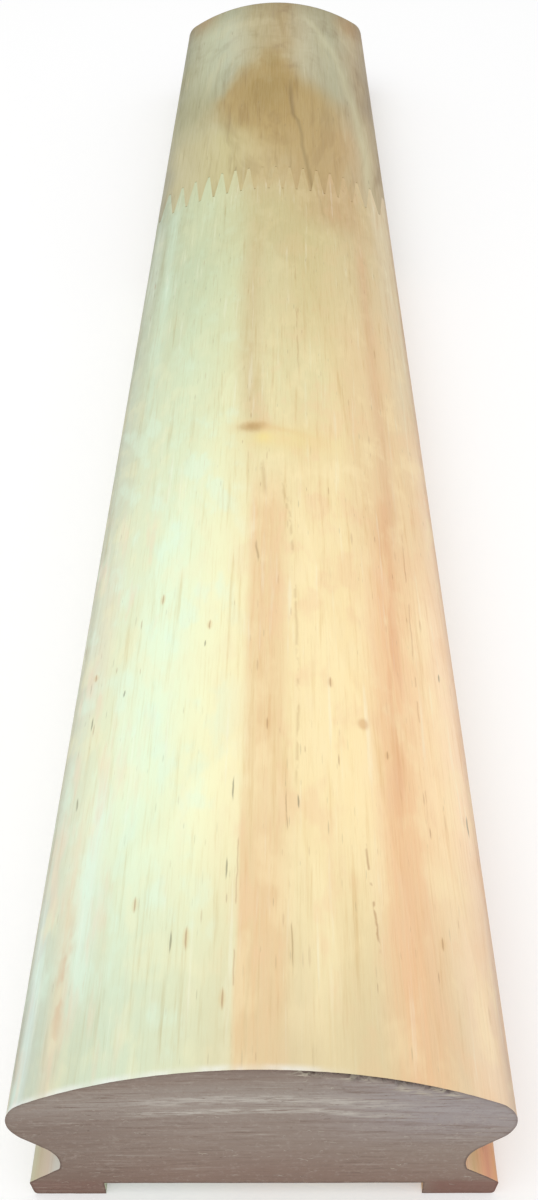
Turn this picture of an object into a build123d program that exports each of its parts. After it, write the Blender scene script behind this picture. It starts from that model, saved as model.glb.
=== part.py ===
from build123d import *
import os
from math import atan2, ceil, cos, degrees, hypot, radians, sin, sqrt

# A length of moulded pine handrail, standing on its two feet. It is made of two timbers that are
# finger-jointed end to end. X runs across the rail, Y along it and Z up, in millimetres. The origin
# is under the middle of the rail, at the level of its feet, and the near end faces -Y.

# Overall sizes
rail_length = 430.0
rail_width = 65.0
rail_height = 32.0

# Crowned top and rounded sides
crown_radius = 59.0
nose_radius = 5.6

# Hollow below each side: a short flat leads from the nose into the cove
ogee_flat = 3.6
cove_radius = 5.4
cove_depth = 5.7
cove_tail_angle = 20.0

# Splayed feet
foot_setback = 0.85
foot_edge_height = 3.2
foot_lean = 0.4
foot_arris_radius = 0.6

# Groove along the underside, for square balusters and the fillets between them
baluster_width = 42.0
baluster_clearance = 0.5
groove_depth = 3.0

# Finger joint: the roots of the near timber's fingers lie this far from the near end
joint_distance = 260.5
finger_length = 15.0
finger_pitch = 3.8
finger_tip_width = 0.5
finger_tip_gap = 0.3
finger_offset = 1.1

# Room past the rail's sides and ends for the blocks that part the two timbers
cutting_margin = 5.0


def point_around(centre, radius, angle):
    return (centre[0] + radius * cos(radians(angle)), centre[1] + radius * sin(radians(angle)))


def rail_section():
    # The crown's arc runs smoothly into the nose, which lies inside it
    side = rail_width / 2
    crown_centre = (0, rail_height - crown_radius)
    nose_x = side - nose_radius
    nose_rise = sqrt((crown_radius - nose_radius) ** 2 - nose_x**2)
    nose_centre = (nose_x, crown_centre[1] + nose_rise)
    crown_angle = degrees(atan2(nose_rise, nose_x))

    # The flat touches the nose above it and the cove below it, on opposite sides
    cove_x = side - cove_depth + cove_radius
    centre_distance = hypot(nose_radius + cove_radius, ogee_flat)
    centre_drop = sqrt(centre_distance**2 - (cove_x - nose_x) ** 2)
    cove_centre = (cove_x, nose_centre[1] - centre_drop)
    centre_angle = degrees(atan2(-centre_drop, cove_x - nose_x))
    flat_angle = centre_angle + degrees(atan2(ogee_flat, nose_radius + cove_radius))
    nose_end = point_around(nose_centre, nose_radius, flat_angle)
    cove_start = point_around(cove_centre, cove_radius, flat_angle + 180)
    cove_end = point_around(cove_centre, cove_radius, cove_tail_angle + 180)

    foot_tip = (side - foot_setback, foot_edge_height)
    foot_base = (foot_tip[0] - foot_lean, 0)
    groove_wall = baluster_width / 2 + baluster_clearance

    with BuildSketch() as section:
        with BuildLine():
            CenterArc(nose_centre, nose_radius, flat_angle, crown_angle - flat_angle)
            Line(nose_end, cove_start)
            CenterArc(cove_centre, cove_radius, flat_angle + 180, cove_tail_angle - flat_angle)
            Polyline(cove_end, foot_tip, foot_base, (groove_wall, 0), (groove_wall, groove_depth))
            mirror(about=Plane.YZ)
            CenterArc(crown_centre, crown_radius, crown_angle, 180 - 2 * crown_angle)
            Line((groove_wall, groove_depth), (-groove_wall, groove_depth))
        make_face()
        outer_corners = [foot_tip, foot_base]
        foot_arrises = [
            corner
            for corner in section.vertices()
            if any(hypot(abs(corner.X) - x, corner.Y - z) < foot_arris_radius / 10 for x, z in outer_corners)
        ]
        fillet(foot_arrises, radius=foot_arris_radius)
    return section.sketch


def near_side(near_cut, far_cut):
    # The ground that belongs to the near timber, up to a comb of tapered fingers. near_cut shortens
    # its fingers, and far_cut fills the bottoms of the slots between them.
    root_y = joint_distance - rail_length / 2
    tip_y = root_y + finger_length
    root_half = (finger_pitch - finger_tip_width) / 2
    tip_half = finger_tip_width / 2
    taper = (root_half - tip_half) / finger_length
    reach = rail_width / 2 + cutting_margin
    first = -ceil((reach + finger_offset) / finger_pitch)
    last = ceil((reach - finger_offset) / finger_pitch)

    outline = []
    for number in range(first, last + 1):
        middle = finger_offset + number * finger_pitch
        base_half = root_half - taper * far_cut
        end_half = tip_half + taper * near_cut
        outline.append((middle - base_half, root_y + far_cut))
        outline.append((middle - end_half, tip_y - near_cut))
        outline.append((middle + end_half, tip_y - near_cut))
        outline.append((middle + base_half, root_y + far_cut))
    back_y = -rail_length / 2 - cutting_margin
    outline.append((outline[-1][0], back_y))
    outline.append((outline[0][0], back_y))
    block = make_face(Polyline(outline, close=True))
    below = Location((0, 0, -cutting_margin))
    return extrude(below * block, amount=rail_height + 2 * cutting_margin)


rail = extrude(Plane.XZ * rail_section(), amount=rail_length / 2, both=True)
near_length = rail & near_side(near_cut=finger_tip_gap, far_cut=0)
far_length = rail - near_side(near_cut=0, far_cut=finger_tip_gap)

os.makedirs("parts", exist_ok=True)
export_step(near_length, "parts/near_length.step")
export_step(far_length, "parts/far_length.step")
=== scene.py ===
# Moulded pine handrail: two finger-jointed timbers, planed all round and sawn square at both ends
import bpy
import math
import numpy as np
from mathutils import Matrix, Vector
from mathutils.geometry import delaunay_2d_cdt


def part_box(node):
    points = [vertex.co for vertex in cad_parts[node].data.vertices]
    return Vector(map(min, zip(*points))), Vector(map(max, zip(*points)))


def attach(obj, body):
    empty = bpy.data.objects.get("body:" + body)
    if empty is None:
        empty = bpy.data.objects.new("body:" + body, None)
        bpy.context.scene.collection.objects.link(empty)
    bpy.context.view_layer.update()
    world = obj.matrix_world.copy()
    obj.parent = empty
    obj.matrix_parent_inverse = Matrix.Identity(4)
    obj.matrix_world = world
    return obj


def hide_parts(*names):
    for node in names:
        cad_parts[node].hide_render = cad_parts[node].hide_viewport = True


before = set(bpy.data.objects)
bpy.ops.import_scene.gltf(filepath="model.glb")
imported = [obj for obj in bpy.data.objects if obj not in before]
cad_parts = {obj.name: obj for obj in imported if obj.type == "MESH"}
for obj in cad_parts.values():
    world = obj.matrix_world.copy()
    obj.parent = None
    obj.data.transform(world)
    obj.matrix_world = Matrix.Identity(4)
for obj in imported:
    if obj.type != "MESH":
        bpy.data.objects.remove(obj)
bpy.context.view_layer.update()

mm = 0.001
nearBox = [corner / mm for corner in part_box("near_length")]
farBox = [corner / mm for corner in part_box("far_length")]
nearEnd = nearBox[0].y
railLength = farBox[1].y - nearEnd
print("frame loaded, rail length in mm:", round(railLength, 1))


# helpers for both kinds of node tree

class Wire:
    # a node's output; sums of wires make Math nodes, so that a tree reads like a formula
    def __init__(self, node, output=None):
        shown = (socket for socket in node.outputs if socket.enabled)
        self.socket = node.outputs[output] if output else next(shown)
        self.tree = node.id_data

    def __add__(self, other):
        return calc("ADD", self, other)

    def __sub__(self, other):
        return calc("SUBTRACT", self, other)

    def __rsub__(self, other):
        return calc("SUBTRACT", other, self)

    def __mul__(self, other):
        return calc("MULTIPLY", self, other)

    def __truediv__(self, other):
        return calc("DIVIDE", self, other)


def plug(socket, value):
    if isinstance(value, Wire):
        value.tree.links.new(value.socket, socket)
    else:
        socket.default_value = value


def addNode(tree, kind, inputs, **settings):
    node = tree.nodes.new(kind)
    for key, setting in settings.items():
        setattr(node, key, setting)
    for key, value in inputs.items():
        plug(node.inputs[key], value)
    return node


def joinNode(kind, *values, **settings):
    # a node in the tree of the wires among its values
    tree = next(value.tree for value in values if isinstance(value, Wire))
    return addNode(tree, kind, dict(enumerate(values)), **settings)


def calc(operation, *values, clamp=False):
    return Wire(joinNode("ShaderNodeMath", *values, operation=operation, use_clamp=clamp))


def vectorCalc(operation, *values):
    return Wire(joinNode("ShaderNodeVectorMath", *values, operation=operation))


def scaled(vector, share):
    return Wire(addNode(vector.tree, "ShaderNodeVectorMath", {0: vector, "Scale": share}, operation="SCALE"))


def splitXyz(vector):
    node = joinNode("ShaderNodeSeparateXYZ", vector)
    return [Wire(node, axis) for axis in "XYZ"]


def joinXyz(x, y, z):
    return Wire(joinNode("ShaderNodeCombineXYZ", x, y, z))


def remap(value, low, high, toLow=0.0, toHigh=1.0, smooth=True):
    kind = "SMOOTHSTEP" if smooth else "LINEAR"
    values = (value, low, high, toLow, toHigh)
    # the smooth kind stays within its range; clamped too, Cycles runs out of room and renders black
    return Wire(joinNode("ShaderNodeMapRange", *values, interpolation_type=kind, clamp=not smooth))


def noise(place, grain, seed, detail=2.0, roughness=0.5):
    # grain is the size of the pattern along each axis, in the units of place
    scale = tuple(1.0 / size if size else 0.0 for size in grain)
    spread = vectorCalc("MULTIPLY_ADD", place, scale, (17.3 * seed, 5.1 * seed, 9.7 * seed))
    pattern = {"Vector": spread, "Scale": 1.0, "Detail": detail, "Roughness": roughness}
    return Wire(addNode(place.tree, "ShaderNodeTexNoise", pattern, noise_dimensions="3D"))


def swing(value, amount):
    # turns a noise value around 0.5 into plus or minus about the amount
    return (value - 0.5) * (2.0 * amount)


def bell(x, y, centre, size):
    # 1 at the centre, falling smoothly all round it
    across = (x - centre[0]) / size[0]
    along = (y - centre[1]) / size[1]
    squares = across * across + along * along
    return calc("EXPONENT", squares * -1.0)


def onRail(position):
    # millimetres, with y counted from the near end
    return vectorCalc("MULTIPLY_ADD", position, (1 / mm, 1 / mm, 1 / mm), (0.0, -nearEnd, 0.0))


# what each timber is like: places in mm, x from the rail's middle and y from its near end

paleTimber = {
    "name": "paleTimber",
    "seed": 3,
    "pith": (8.0, -128.0),        # x and z of the tree's centre at the near end
    "pithSlope": 0.03,
    "pastPith": 1.0,
    "ringSpacing": 2.6,
    "ringWarp": 1.3,
    "wander": 1.4,
    "wanderLength": 120.0,
    "ringDepth": 0.03,
    "endRingShare": 0.22,         # how strongly the rings show on the sawn end
    "knots": [
        {"at": (-3.2, 142.0), "size": (2.0, 1.35), "spread": (7.0, 26.0), "lift": 2.2, "dish": 0.08},
        {"at": (15.5, 59.7), "size": (0.9, 1.3), "spread": (2.6, 8.0), "lift": 0.3, "dish": 0.015},
    ],
}

brownTimber = {
    "name": "brownTimber",
    "seed": 8,
    "pith": (0.5, 126.6),         # the centre comes out through the crown about 338 mm from the near end
    "pithSlope": -0.28,
    "pastPith": 1.7,              # how much tighter the rings lie above the tree's centre than below it
    "ringSpacing": 6.4,
    "ringWarp": 5.5,
    "wander": 3.2,
    "wanderLength": 60.0,
    "ringDepth": 0.012,
    "endRingShare": 0.5,
    "knots": [
        {"at": (1.0, 352.0), "size": (2.0, 9.0), "spread": (6.0, 20.0), "lift": 3.0, "dish": 0.08},
    ],
}

grainSize = {                     # mm along x, y and z, in both timbers
    "warp": (16, 95, 16),         # how the rings waver
    "fibre": (0.9, 26, 0.9),
    "knotEdge": (1.1, 1.6, 1.1),
    "score": (30, 0, 1.15),       # marks of the saw, and the fuzz on them
    "fuzz": (1.3, 0, 0.9),
}


def ringField(place, timber):
    # distance from the tree's centre, which gives the growth rings their shape on every face
    x, y, z = splitXyz(place)
    sway = noise(place, (0, timber["wanderLength"], 0), timber["seed"], detail=1.0)
    across = x + swing(sway, timber["wander"]) - timber["pith"][0]
    depth = z - calc("MULTIPLY_ADD", y, timber["pithSlope"], timber["pith"][1])
    depth = calc("MAXIMUM", depth * timber["pastPith"], depth * -1.0)
    radius = calc("SQRT", across * across + depth * depth)
    radius += swing(noise(place, grainSize["warp"], timber["seed"] + 1), timber["ringWarp"])
    for knot in timber["knots"]:
        radius += bell(x, y, knot["at"], knot["spread"]) * knot["lift"]
    return radius


def lateWood(radius, timber):
    # 0 in the pale spring wood, rising slowly to 1 in the dark line that ends each ring
    share = calc("FRACT", radius / timber["ringSpacing"])
    return calc("POWER", share, 2.5) * remap(share, 0.93, 1.0, 1.0, 0.0)


def knotMask(place, knot, soft):
    x, y, z = splitXyz(place)
    rough = noise(place, grainSize["knotEdge"], 21)
    across = (x - knot["at"][0]) / knot["size"][0]
    along = (y - knot["at"][1]) / knot["size"][1]
    reach = vectorCalc("LENGTH", joinXyz(across, along, 0.0)) + swing(rough, 0.5)
    return remap(reach, 1.0 + soft, 1.0 - soft) * remap(z, 14.0, 22.0)


# the near arris, where the saw tore fibres out from under the crown

tornArris = {
    "span": (3.5, 25.0),          # x of the torn stretch
    "fade": 3.0,                  # mm over which it begins and ends
    "lip": 0.1,                   # mm of sound wood left under the crown
    "reach": 1.9,                 # mm below the crown
    "chipLength": 3.0,
    "stroke": (3.0, 0.5),         # length and height of one tear
    "flakes": [                   # x and depth below the crown, then half length and half height
        ((23.0, 0.9), (2.4, 0.55)),
        ((19.0, 1.9), (2.4, 0.55)),
        ((11.8, 1.2), (2.6, 0.45)),
        ((5.5, 1.0), (1.8, 0.4)),
    ],
}


def underCrown(x, z):
    # mm below the crown's surface
    level = z - (nearBox[1].z - railSection["crownRadius"])
    return railSection["crownRadius"] - vectorCalc("LENGTH", joinXyz(x, 0.0, level))


def tornMask(x, z):
    level = underCrown(x, z)
    chips = noise(joinXyz(x, 0.0, 0.0), (tornArris["chipLength"], 1, 1), 31)
    reach = remap(chips, 0.36, 0.58, 0.5, tornArris["reach"])
    length, height = tornArris["stroke"]
    tears = noise(joinXyz(x, 0.0, level), (length, 1, height), 33, roughness=0.6)
    lip = tornArris["lip"]
    pit = remap(tears, 0.43, 0.54) * remap(level, lip, lip * 2) * remap(level, reach, reach * 0.6)
    low, high = tornArris["span"]
    fade = tornArris["fade"]
    return pit * (remap(x, low, low + fade) * remap(x, high, high - fade)), level


# the outline of the section, followed clockwise from the crown's top as the near end shows it

railSection = {
    "crownRadius": 59.0,
    "noseRadius": 5.6,
    "ogeeFlat": 3.6,
    "coveRadius": 5.4,
    "coveDepth": 5.7,
    "coveTail": math.radians(20.0),
    "footSetback": 0.85,
    "footEdge": 3.2,
    "footLean": 0.4,
    "footArris": 0.6,
    "grooveHalf": 21.5,
    "grooveDepth": 3.0,
    "curveStep": 0.55,            # spacing of the points round the curves
    "flatStep": 1.1,
}


def around(centre, radius, angle):
    return (centre[0] + radius * math.cos(angle), centre[1] + radius * math.sin(angle))


def arcPoints(centre, radius, start, end, step):
    count = max(2, math.ceil(abs(end - start) * radius / step))
    return [around(centre, radius, start + (end - start) * i / count) for i in range(count + 1)]


def linePoints(start, end, step):
    count = max(1, math.ceil(math.dist(start, end) / step))
    return [
        (start[0] + (end[0] - start[0]) * i / count, start[1] + (end[1] - start[1]) * i / count)
        for i in range(count + 1)
    ]


def easedCorner(before, corner, after, radius):
    # the rounded arris between two flats, as an arc of a few points
    toBefore = (Vector(before) - Vector(corner)).normalized()
    toAfter = (Vector(after) - Vector(corner)).normalized()
    half = toBefore.angle(toAfter) / 2
    centre = Vector(corner) + (toBefore + toAfter).normalized() * (radius / math.sin(half))
    first = Vector(corner) + toBefore * (radius / math.tan(half)) - centre
    last = Vector(corner) + toAfter * (radius / math.tan(half)) - centre
    start = math.atan2(first.y, first.x)
    turn = math.remainder(math.atan2(last.y, last.x) - start, 2 * math.pi)
    return arcPoints(tuple(centre), radius, start, start + turn, radius / 3)


def sectionOutline(size):
    side = nearBox[1].x
    top = nearBox[1].z
    crown = (0.0, top - size["crownRadius"])
    noseX = side - size["noseRadius"]
    noseRise = math.sqrt((size["crownRadius"] - size["noseRadius"]) ** 2 - noseX**2)
    nose = (noseX, crown[1] + noseRise)
    crownAngle = math.atan2(noseRise, noseX)
    coveX = side - size["coveDepth"] + size["coveRadius"]
    radii = size["noseRadius"] + size["coveRadius"]
    drop = math.sqrt(radii**2 + size["ogeeFlat"] ** 2 - (coveX - noseX) ** 2)
    cove = (coveX, nose[1] - drop)
    flatAngle = math.atan2(-drop, coveX - noseX) + math.atan2(size["ogeeFlat"], radii)
    tip = (side - size["footSetback"], size["footEdge"])
    base = (tip[0] - size["footLean"], 0.0)
    groove = size["grooveHalf"]
    ceiling = size["grooveDepth"]
    fine = size["curveStep"]
    coarse = size["flatStep"]

    coveArc = arcPoints(cove, size["coveRadius"], flatAngle + math.pi, size["coveTail"] + math.pi, fine)
    tipArc = easedCorner(coveArc[-1], tip, base, size["footArris"])
    baseArc = easedCorner(tip, base, (groove, 0.0), size["footArris"])
    pieces = [
        arcPoints(crown, size["crownRadius"], math.pi / 2, crownAngle, fine),
        arcPoints(nose, size["noseRadius"], crownAngle, flatAngle, fine),
        linePoints(around(nose, size["noseRadius"], flatAngle), coveArc[0], fine),
        coveArc,
        linePoints(coveArc[-1], tipArc[0], coarse),
        tipArc,
        linePoints(tipArc[-1], baseArc[0], coarse),
        baseArc,
        linePoints(baseArc[-1], (groove, 0.0), coarse),
        linePoints((groove, 0.0), (groove, ceiling), coarse),
        linePoints((groove, ceiling), (0.0, ceiling), coarse),
    ]
    right = []
    for piece in pieces:
        for point in piece:
            if not right or math.dist(point, right[-1]) > 1e-4:
                right.append(point)
    left = [(-x, z) for x, z in reversed(right[1:-1])]
    return right + left


def insertCrossings(outline, cuts):
    # adds a point wherever the outline passes a finger's edge, so that each finger has a crisp corner
    done = []
    for (x0, z0), (x1, z1) in zip(outline, outline[1:] + outline[:1]):
        done.append((x0, z0, False))
        between = [cut for cut in cuts if min(x0, x1) < cut < max(x0, x1)]
        for cut in sorted(between, reverse=x1 < x0):
            share = (cut - x0) / (x1 - x0)
            done.append((cut, z0 + (z1 - z0) * share, True))
    kept = []
    for i, (x, z, isCut) in enumerate(done):
        beside = (done[i - 1], done[(i + 1) % len(done)])
        crowded = any(other[2] and math.dist(other[:2], (x, z)) < fingerComb["crowding"] for other in beside)
        if isCut or not crowded:
            kept.append((x, z))
    return kept


# the fingers: a comb across the rail, with each tip cut a little short of its slot

fingerComb = {
    "pitch": 3.8,
    "tipWidth": 0.5,
    "tipGap": 0.3,
    "offset": 1.1,                # x of the near timber's finger that is closest to the middle
    "rings": 12,                  # rows of faces between the plain rail and the finger tips
    "margin": 1.0,                # mm from the fingers to the plain rail
    "crowding": 0.03,             # mm within which a finger's edge takes the place of other points
    "sideClear": 0.05,            # mm from the rail's widest point without any finger edge
    "flush": (0.5, 6.0),          # mm past the joint over which the relief comes back
}
fingerTip = nearBox[1].y - nearEnd + fingerComb["tipGap"]
fingerRoot = farBox[0].y - nearEnd - fingerComb["tipGap"]
fingerTaper = (fingerComb["pitch"] / 2 - fingerComb["tipWidth"]) / (fingerTip - fingerRoot)


def combLevel(x, isNear):
    # how far from the near end the joint runs at this x
    away = abs(math.remainder(x - fingerComb["offset"], fingerComb["pitch"]))
    level = fingerTip - (away - fingerComb["tipWidth"] / 2) / fingerTaper
    level = min(max(level, fingerRoot), fingerTip)
    if isNear:
        return min(level, fingerTip - fingerComb["tipGap"])
    return max(level, fingerRoot + fingerComb["tipGap"])


def combCuts(isNear):
    tipHalf = fingerComb["tipWidth"] / 2
    rootHalf = fingerComb["pitch"] / 2 - tipHalf
    shift = fingerTaper * fingerComb["tipGap"]
    halves = (tipHalf + shift, rootHalf) if isNear else (tipHalf, rootHalf - shift)
    reach = math.ceil(nearBox[1].x / fingerComb["pitch"]) + 1
    middles = [fingerComb["offset"] + number * fingerComb["pitch"] for number in range(-reach, reach + 1)]
    cuts = [middle + side * half for middle in middles for half in halves for side in (-1, 1)]
    return sorted(cut for cut in cuts if abs(cut) < nearBox[1].x - fingerComb["sideClear"])


# the mesh of one timber: rings of points along the rail, a sawn end and a comb of fingers

timberMesh = {
    "ringStep": 1.6,
    "endRings": [0.0, 0.25, 0.6, 1.1, 1.8, 2.8],
    "endSpacing": 0.55,           # size of the faces on the sawn end
    "tornSpacing": 0.24,          # and under its torn arris
    "tornMargin": 0.3,            # mm below the torn stretch that has small faces too
    "stray": 0.18,                # how far its points stray, as a share of their spacing
    "edgeClear": 0.5,             # and how far they keep from the outline
    "sharpAngle": 35,             # degrees
}


def insideOutline(points, outline):
    xs, zs = points[:, 0], points[:, 1]
    inside = np.zeros(len(points), bool)
    for (x0, z0), (x1, z1) in zip(outline, outline[1:] + outline[:1]):
        if z0 == z1:
            continue
        crosses = (zs < z0) != (zs < z1)
        inside ^= crosses & (xs < x0 + (zs - z0) * (x1 - x0) / (z1 - z0))
    return inside


def endPoints(outline, isNear, seed):
    # a slightly uneven grid of points over the sawn face, clear of its edge, and how far each is from it
    rng = np.random.default_rng(seed)
    side, top = nearBox[1].x, nearBox[1].z
    low, high = tornArris["span"]
    found = []
    for spacing in (timberMesh["endSpacing"], timberMesh["tornSpacing"]):
        isFine = spacing == timberMesh["tornSpacing"]
        if isFine and not isNear:
            continue
        xs, zs = np.meshgrid(np.arange(-side, side, spacing), np.arange(0, top, spacing))
        xs[1::2] += spacing / 2
        points = np.column_stack([xs.ravel(), zs.ravel()])
        points += rng.uniform(-timberMesh["stray"], timberMesh["stray"], points.shape) * spacing
        points = points[insideOutline(points, outline)]
        level = np.hypot(points[:, 0], points[:, 1] - top + railSection["crownRadius"])
        tornDepth = tornArris["reach"] + timberMesh["tornMargin"]
        isTorn = (level > railSection["crownRadius"] - tornDepth) & isNear
        isTorn &= (points[:, 0] > low) & (points[:, 0] < high)
        points = points[isTorn == isFine]
        edge = np.array(outline)
        gaps = np.array([np.hypot(*(edge - point).T).min() for point in points])
        nearest = timberMesh["edgeClear"] * spacing
        found += [(x, z, gap) for (x, z), gap in zip(points, gaps) if gap > nearest]
    return found


def fillCap(outline, extra, creases):
    # triangles over the section; the outline's points come first in their numbering
    points = [Vector(point) for point in outline + extra]
    faces, sources = delaunay_2d_cdt(points, creases, [list(range(len(outline)))], 1, 1e-6)[2:4]
    return [[min(sources[corner]) for corner in face] for face in faces]


def creaseLines(outline, cuts):
    # upright lines over the end of the fingers, one at each finger's edge
    lines = []
    for cut in cuts:
        stops = sorted((z, index) for index, (x, z) in enumerate(outline) if abs(x - cut) < 1e-9)
        for (z0, first), (z1, last) in zip(stops, stops[1:]):
            middle = np.array([[cut, (z0 + z1) / 2]])
            if insideOutline(middle, outline)[0]:
                lines.append((first, last))
    return lines


def buildTimber(name, isNear):
    cuts = combCuts(isNear)
    outline = insertCrossings(sectionOutline(railSection), cuts)
    count = len(outline)
    comb = np.array([combLevel(x, isNear) for x, z in outline])
    endRings = timberMesh["endRings"]
    plainEnd = fingerRoot - fingerComb["margin"] if isNear else fingerTip + fingerComb["margin"]
    sawnEnd = 0.0 if isNear else railLength
    inward = 1 if isNear else -1
    run = abs(plainEnd - sawnEnd) - endRings[-1]
    steps = math.ceil(run / timberMesh["ringStep"])
    levels = [sawnEnd + inward * ring for ring in endRings]
    levels += [levels[-1] + inward * run * (i + 1) / steps for i in range(steps)]
    rings = [np.full(count, level) for level in levels]
    for i in range(1, fingerComb["rings"] + 1):
        share = i / fingerComb["rings"]
        rings.append(plainEnd + (comb - plainEnd) * share)

    edge = np.array(outline)
    points = [np.column_stack([edge[:, 0], ring, edge[:, 1]]) for ring in rings]
    faces = []
    for row in range(len(rings) - 1):
        first, second = row * count, (row + 1) * count
        for column in range(count):
            following = (column + 1) % count
            faces.append([first + column, first + following, second + following, second + column])
    sideFaces = len(faces)

    extra = endPoints(outline, isNear, seed=5 if isNear else 6)
    start = len(rings) * count
    points.append(np.array([(x, sawnEnd, z) for x, z, gap in extra]))
    for face in fillCap(outline, [(x, z) for x, z, gap in extra], []):
        faces.append([corner if corner < count else start + corner - count for corner in face])
    endFaces = len(faces)
    last = (len(rings) - 1) * count
    for face in fillCap(outline, [], creaseLines(outline, cuts)):
        faces.append([last + corner for corner in reversed(face)])
    if not isNear:
        faces = [list(reversed(face)) for face in faces]

    place = np.vstack(points) + (0.0, nearEnd, 0.0)
    mesh = bpy.data.meshes.new(name)
    mesh.from_pydata((place * mm).tolist(), [], faces)
    sawn = mesh.attributes.new("sawnEnd", "BOOLEAN", "FACE")
    flags = np.zeros(len(faces), bool)
    flags[sideFaces:endFaces] = True
    sawn.data.foreach_set("value", flags)
    edgeGap = mesh.attributes.new("edgeGap", "FLOAT", "POINT")
    edgeGap.data.foreach_set("value", [0.0] * start + [gap for x, z, gap in extra])
    unrollSides(mesh, outline, sideFaces)
    mesh.polygons.foreach_set("use_smooth", np.ones(len(faces), bool))
    mesh.set_sharp_from_angle(angle=math.radians(timberMesh["sharpAngle"]))
    return addObject(name, mesh)


def addObject(name, data):
    thing = bpy.data.objects.new(name, data)
    bpy.context.scene.collection.objects.link(thing)
    return thing


def readAll(items, key, kind=int, width=1):
    values = np.zeros(len(items) * width, kind)
    items.foreach_get(key, values)
    return values.reshape(len(items), width) if width > 1 else values


def unrollSides(mesh, outline, sideFaces):
    # the moulding is unrolled: u runs round the section and v along the rail, both in metres
    edge = np.array(outline + outline[:1])
    girth = np.concatenate([[0.0], np.cumsum(np.hypot(*np.diff(edge, axis=0).T))])
    count = len(outline)
    vertexOf = readAll(mesh.loops, "vertex_index")
    faceOf = np.repeat(np.arange(len(mesh.polygons)), readAll(mesh.polygons, "loop_total"))
    place = readAll(mesh.vertices, "co", float, 3)[vertexOf]
    column = vertexOf % count
    wraps = (faceOf % count == count - 1) & (column == 0)
    along = np.where(wraps, girth[-1], girth[column]) * mm
    onSide = (faceOf < sideFaces)[:, None]
    uv = np.where(onSide, np.column_stack([along, place[:, 1]]), place[:, [0, 2]])
    mesh.uv_layers.new(name="unrolled").data.foreach_set("uv", uv.ravel())


# relief of a timber's faces, worked in geometry nodes over the plain mesh

timberRelief = {
    "Fibre Depth": 0.02,          # all depths in mm
    "Saw Recess": 0.05,
    "Saw Depth": 0.14,
    "Tear Depth": 0.8,
    "Tear Reach": 3.0,
    "Fibre Radius": 0.04,         # torn fibres that lie about on the sawn face
    "Fibre Length": 1.0,
    "Fibre Count": 300.0,         # to a face without any bare patches
}


fibreSpread = {
    "edgeClear": 1.1,             # mm from the outline
    "patch": (5, 5, 3),
    "bend": 0.9,                  # as a share of half the length
    "turn": 0.5,                  # most that a fibre leans from the level, in radians
    "smallest": (0.35, 0.8, 0.1),
    "largest": (1.1, 1.0, 1.1),
}


def newReliefTree(timber):
    tree = bpy.data.node_groups.new(timber["name"] + "Relief", "GeometryNodeTree")
    sizes = [*timberRelief, "Ring Depth", "Knot Dish", "Sawn End", "Inward"]
    sockets = [("Geometry", "NodeSocketGeometry")]
    sockets += [(key, "NodeSocketFloat") for key in sizes]
    sockets += [(key, "NodeSocketMaterial") for key in ("Planed Finish", "Sawn Finish", "Fibre Finish")]
    for name, kind in sockets:
        tree.interface.new_socket(name, in_out="INPUT", socket_type=kind)
    tree.interface.new_socket("Geometry", in_out="OUTPUT", socket_type="NodeSocketGeometry")
    start = tree.nodes.new("NodeGroupInput")
    asked = {name: Wire(start, name) for name, kind in sockets}

    place = onRail(Wire(tree.nodes.new("GeometryNodeInputPosition")))
    x, y, z = splitXyz(place)
    late = lateWood(ringField(place, timber), timber)
    fibre = noise(place, grainSize["fibre"], timber["seed"] + 4, detail=3.0)

    # planed faces sink a little between the hard late-wood lines
    sunk = (1.0 - late) * asked["Ring Depth"] + fibre * asked["Fibre Depth"]
    for knot in timber["knots"]:
        sunk += knotMask(place, knot, soft=0.6) * asked["Knot Dish"] * knot["dish"]
    # and lie flush at the fingers
    halfJoint = (fingerTip - fingerRoot) / 2
    fromJoint = calc("ABSOLUTE", y - (fingerRoot + halfJoint))
    first, last = fingerComb["flush"]
    sunk *= remap(fromJoint, halfJoint + first, halfJoint + last)
    intoWood = scaled(Wire(tree.nodes.new("GeometryNodeInputNormal")), sunk * -mm)

    # the saw leaves level scores across the end, and pits under the crown's arris
    fromEnd = (y - asked["Sawn End"]) * asked["Inward"]
    scores = noise(place, grainSize["score"], timber["seed"] + 6, detail=3.0, roughness=0.65)
    fuzz = noise(place, grainSize["fuzz"], timber["seed"] + 7)
    scored = calc("MULTIPLY_ADD", fuzz, 0.5, scores) * asked["Saw Depth"]
    pit, level = tornMask(x, z)
    torn = pit * remap(level, 0.05, 0.3, 0.1, 1.0) * asked["Tear Depth"]
    fade = remap(fromEnd, 0.0, asked["Tear Reach"], 1.0, 0.0, smooth=False)
    shift = (scored + torn + asked["Saw Recess"]) * calc("POWER", fade, 2.0)
    sides = scaled(intoWood, calc("GREATER_THAN", fromEnd, 0.01))
    offset = vectorCalc("ADD", sides, joinXyz(0.0, shift * asked["Inward"] * mm, 0.0))

    moved = Wire(addNode(tree, "GeometryNodeSetPosition", {"Geometry": asked["Geometry"], "Offset": offset}))
    both = addNode(tree, "GeometryNodeJoinGeometry", {0: moved})
    plug(both.inputs[0], scatterFibres(tree, moved, place, asked, timber["seed"]))
    made = Wire(joinNode("GeometryNodeRealizeInstances", Wire(both)))
    made = setFinish(made, asked["Planed Finish"])
    made = setFinish(made, asked["Sawn Finish"], namedAttribute(tree, "sawnEnd", "BOOLEAN"))
    made = setFinish(made, asked["Fibre Finish"], namedAttribute(tree, "tornFibre", "BOOLEAN"))
    addNode(tree, "NodeGroupOutput", {0: made})
    return tree


def setFinish(geometry, finish, chosen=True):
    inputs = {"Geometry": geometry, "Selection": chosen, "Material": finish}
    return Wire(addNode(geometry.tree, "GeometryNodeSetMaterial", inputs))


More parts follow.
